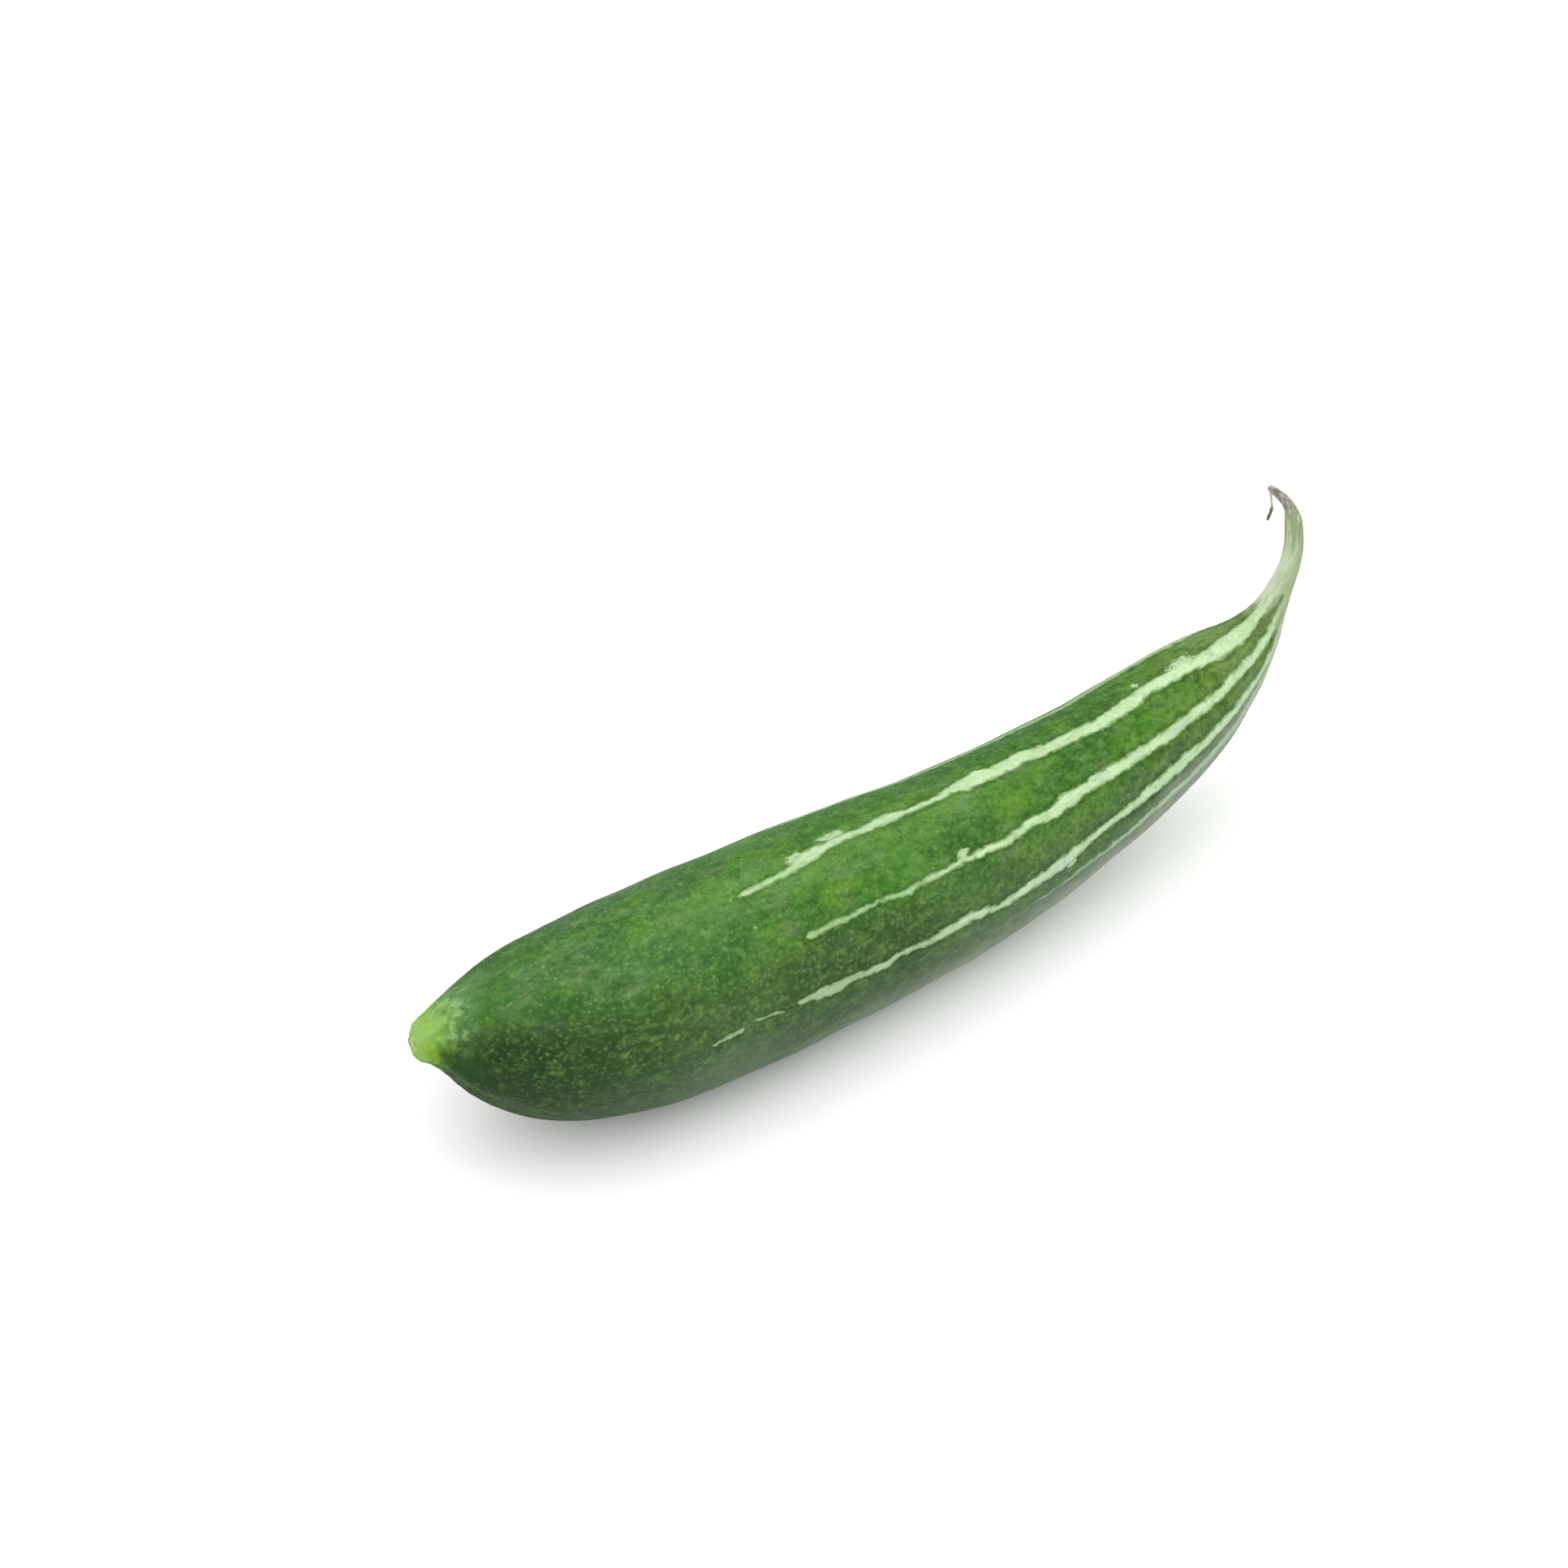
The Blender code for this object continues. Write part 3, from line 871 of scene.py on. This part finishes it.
def stubbed(finish, grown, colour):
    """The stub: yellow-green skin, paler on top with painted light, pale ridges above, painted shade in
    dark green below, and a cut face.
    """
    place = finish.attribute("place")
    height = finish.attribute("height")
    above = finish.step(height, 0.1, 0.95)
    uneven = finish.centred(finish.grain(grown, 2.4, 2.0, 3.0), 0.030)
    along = finish.math("ADD", place, uneven)
    # Painted shade in dark green below the stub.
    below = finish.times(finish.step(height, 0.80, 0.45), finish.step(height, -0.5, 0.1))
    dark = finish.times(below, finish.step(along, 0.056, 0.036, 0.0, 0.8))
    colour = finish.mix(dark, colour, linear(GREEN_STUB_SHADE))
    collar = finish.times(above, finish.step(along, 0.056, 0.026, 0.0, 0.55))
    colour = finish.mix(collar, colour, linear(COLLAR))
    ridges = finish.step(finish.grain(grown, 1.8, 4.0, 3.0), 0.44, 0.66)
    ridges = finish.times(ridges, finish.times(above, finish.step(place, 0.048, 0.026)))
    colour = finish.mix(finish.times(ridges, 0.75), colour, linear(RIDGE_PALE))
    cloudy = finish.step(finish.grain(grown, 2.2, 1.6, 3.0), 0.36, 0.64)
    nub = finish.mix(cloudy, linear(NUB_OLIVE), linear(NUB))
    # Paler on top: painted light.
    nub = finish.mix(finish.times(above, 0.7), nub, linear(NUB_PALE_AND_LIT))
    nub = finish.mix(finish.step(along, 0.007, 0.0, 0.0, 0.6), nub, linear(NUB_PALE_AND_LIT))
    blotches = finish.step(finish.grain(finish.scaled(grown, (1, -1, 1)), 1.5, 1.8, 3.0), 0.46, 0.66)
    blotches = finish.times(blotches, finish.step(place, 0.004, 0.020, 0.15, 0.65))
    nub = finish.mix(blotches, nub, linear(GREEN_YELLOW))
    reach = finish.math("SUBTRACT", along, finish.times(above, 0.009))
    colour = finish.mix(finish.step(reach, 0.027, 0.003), colour, nub)
    # The cut face has a dry rim, a ring of strands and a duller pith.
    cut = finish.attribute("cut")
    face = finish.mix(finish.step(finish.grain(grown, 0.7), 0.4, 0.6), linear(CUT), linear(CUT_DRY))
    strands = finish.step(finish.grain(grown, 0.45, 1.0, 1.0), 0.50, 0.62)
    ring = finish.times(finish.step(cut, 0.25, 0.40), finish.step(cut, 0.70, 0.55))
    face = finish.mix(finish.times(ring, strands), face, linear(CUT_STRAND))
    face = finish.mix(finish.step(cut, 0.60, 0.85, 0.0, 0.7), face, linear(CUT_PITH))
    rim = finish.mix(finish.step(cut, 0.22, 0.34), linear(CUT_RIM), face)
    return finish.mix(finish.step(cut, 0.06, 0.16), colour, rim)


def skin_finish():
    finish = Finish("gourd_skin_fine")
    grown = finish.attribute("grown", "Vector")
    colour = ground_green(finish, grown)
    colour = mottled(finish, grown, colour)
    colour = underside(finish, grown, colour)
    colour, mask = striped(finish, grown, colour)
    colour = beaked(finish, grown, colour)
    colour = stubbed(finish, grown, colour)
    finish.feed(finish.shader.inputs["Base Color"], colour)
    rough = finish.step(finish.grain(grown, 3.0, 1.5, 4.0), 0.3, 0.7, 0.54, 0.68)
    rough = finish.math("ADD", rough, finish.times(mask, 0.06))
    finish.feed(finish.shader.inputs["Roughness"], rough)
    finish.shader.inputs["Specular IOR Level"].default_value = SPECULAR
    bump = finish.tree.nodes.new("ShaderNodeBump")
    bump.inputs["Strength"].default_value = BUMP_STRENGTH
    bump.inputs["Distance"].default_value = BUMP_DISTANCE
    finish.feed(bump.inputs["Height"], finish.grain(grown, 0.8, 1.3, 4.0))
    finish.feed(finish.shader.inputs["Normal"], bump.outputs[0])
    return finish.material


def remnant_finish():
    finish = Finish("dried_flower")
    coordinates = finish.tree.nodes.new("ShaderNodeTexCoord").outputs["Object"]
    fibres = finish.grain(finish.scaled(coordinates, (1 / MM, 1 / MM, 0.25 / MM)), 0.25, 1.0, 3.0)
    along = finish.math("ADD", finish.attribute("place"), finish.centred(fibres, 0.2))
    colour = finish.mix(finish.step(along, 0.40, 0.62), linear(PETAL_PALE), linear(PETAL_DRY))
    colour = finish.mix(finish.step(fibres, 0.45, 0.65, 0.0, 0.5), colour, linear(DRY_PALE))
    finish.feed(finish.shader.inputs["Base Color"], colour)
    finish.shader.inputs["Roughness"].default_value = PETAL_ROUGHNESS
    finish.shader.inputs["Specular IOR Level"].default_value = SPECULAR
    return finish.material


# Camera, at the photograph's viewing angle.
VIEW_AZIMUTH = -39.1
VIEW_ELEVATION = 39.4
VIEW_DISTANCE = 903 * MM
VIEW_AIM = (-5.13 * MM, 46.12 * MM, 20 * MM)
LENS = 85
SENSOR = 36

# A broad soft light in a white surround, and a pale floor just under the gourd.
SKY_AZIMUTH = -20
SKY_ELEVATION = 74
SKY_BREADTH = 110
SKY_POWER = 1.3
FILL = 0.98
WHITE = (1.0, 1.0, 1.0, 1.0)
FLOOR_HALF = 4.0
FLOOR_DROP = 0.1 * MM
FLOOR_PALE = (0.96, 0.96, 0.96, 1.0)
FLOOR_ROUGHNESS = 0.9


def outward(azimuth, elevation):
    """Direction from the gourd to something at an azimuth and an elevation, in degrees."""
    a, e = math.radians(azimuth), math.radians(elevation)
    return Vector((math.sin(a) * math.cos(e), -math.cos(a) * math.cos(e), math.sin(e)))


def looking_from(obj, azimuth, elevation, distance, aim):
    back = outward(azimuth, elevation)
    obj.location = Vector(aim) + back * distance
    obj.rotation_mode = "QUATERNION"
    obj.rotation_quaternion = (-back).to_track_quat("-Z", "Y")
    bpy.context.scene.collection.objects.link(obj)


def camera():
    data = bpy.data.cameras.new("camera")
    data.lens = LENS
    data.sensor_width = SENSOR
    obj = bpy.data.objects.new("camera", data)
    looking_from(obj, VIEW_AZIMUTH, VIEW_ELEVATION, VIEW_DISTANCE, VIEW_AIM)
    bpy.context.scene.camera = obj


def soft_sky():
    """One very broad light from above, as from a large white cloth."""
    data = bpy.data.lights.new("soft_sky", "SUN")
    data.angle = math.radians(SKY_BREADTH)
    data.energy = SKY_POWER
    looking_from(bpy.data.objects.new("soft_sky", data), SKY_AZIMUTH, SKY_ELEVATION, 1.0, (0, 0, 0))


def floor():
    mesh = bpy.data.meshes.new("floor")
    half = FLOOR_HALF
    low = -FLOOR_DROP
    corners = [(-half, -half, low), (half, -half, low), (half, half, low), (-half, half, low)]
    mesh.from_pydata(corners, [], [(0, 1, 2, 3)])
    obj = bpy.data.objects.new("floor", mesh)
    bpy.context.scene.collection.objects.link(obj)
    finish = Finish("floor")
    finish.shader.inputs["Base Color"].default_value = FLOOR_PALE
    finish.shader.inputs["Roughness"].default_value = FLOOR_ROUGHNESS
    finish.shader.inputs["Specular IOR Level"].default_value = SPECULAR
    mesh.materials.append(finish.material)


def studio():
    world = bpy.data.worlds.new("studio")
    world.use_nodes = True
    background = world.node_tree.nodes["Background"]
    background.inputs["Color"].default_value = WHITE
    background.inputs["Strength"].default_value = FILL
    bpy.context.scene.world = world
    bpy.context.scene.view_settings.view_transform = "Standard"
    soft_sky()
    floor()


camera()
studio()
skin, tip = gourd()
skin.data.materials.append(skin_finish())
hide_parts(NODE)
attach(skin, "root")

thread = remnant(tip / MM)
thread.data.materials.append(remnant_finish())
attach(thread, "root")
